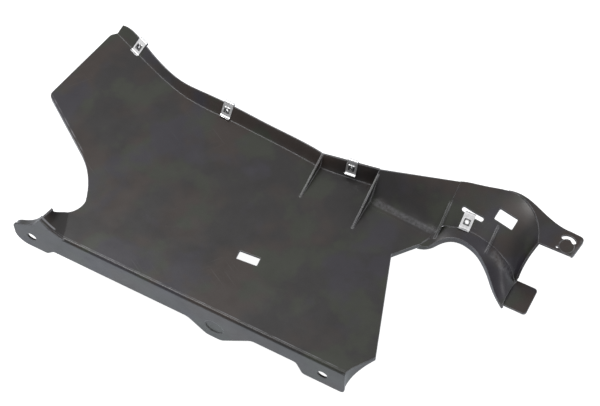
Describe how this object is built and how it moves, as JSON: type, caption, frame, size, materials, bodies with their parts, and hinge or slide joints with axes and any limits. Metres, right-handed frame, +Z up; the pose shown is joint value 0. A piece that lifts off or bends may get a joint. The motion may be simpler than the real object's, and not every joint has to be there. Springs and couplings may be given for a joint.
{
  "type": "engine splash shield",
  "caption": "One-piece moulded black plastic engine splash shield: flat panel, bolt-on front wall, twisting back flange with gussets and a side arm with a foot, carrying folded spring nuts.",
  "frame": {"origin": "centre of the bolt hole in the left tab, on the outer face of the front wall; the deck's upper face is 30 mm above it", "axes": "+X to the right along the front wall, +Y from the front wall back over the deck, +Z up out of the deck's upper face"},
  "size_m": [0.6486, 0.2924, 0.101],
  "materials": {
    "moulded_plastic": "satin black polypropylene with a fine moulded grain",
    "zinc_steel": "bright zinc-plated spring steel"
  },
  "bodies": {
    "root": {"shield_body": "moulded_plastic", "edge_clip_left": "zinc_steel", "edge_clip_middle": "zinc_steel", "edge_clip_right": "zinc_steel", "slot_clip": "zinc_steel"}
  },
  "joints": []
}
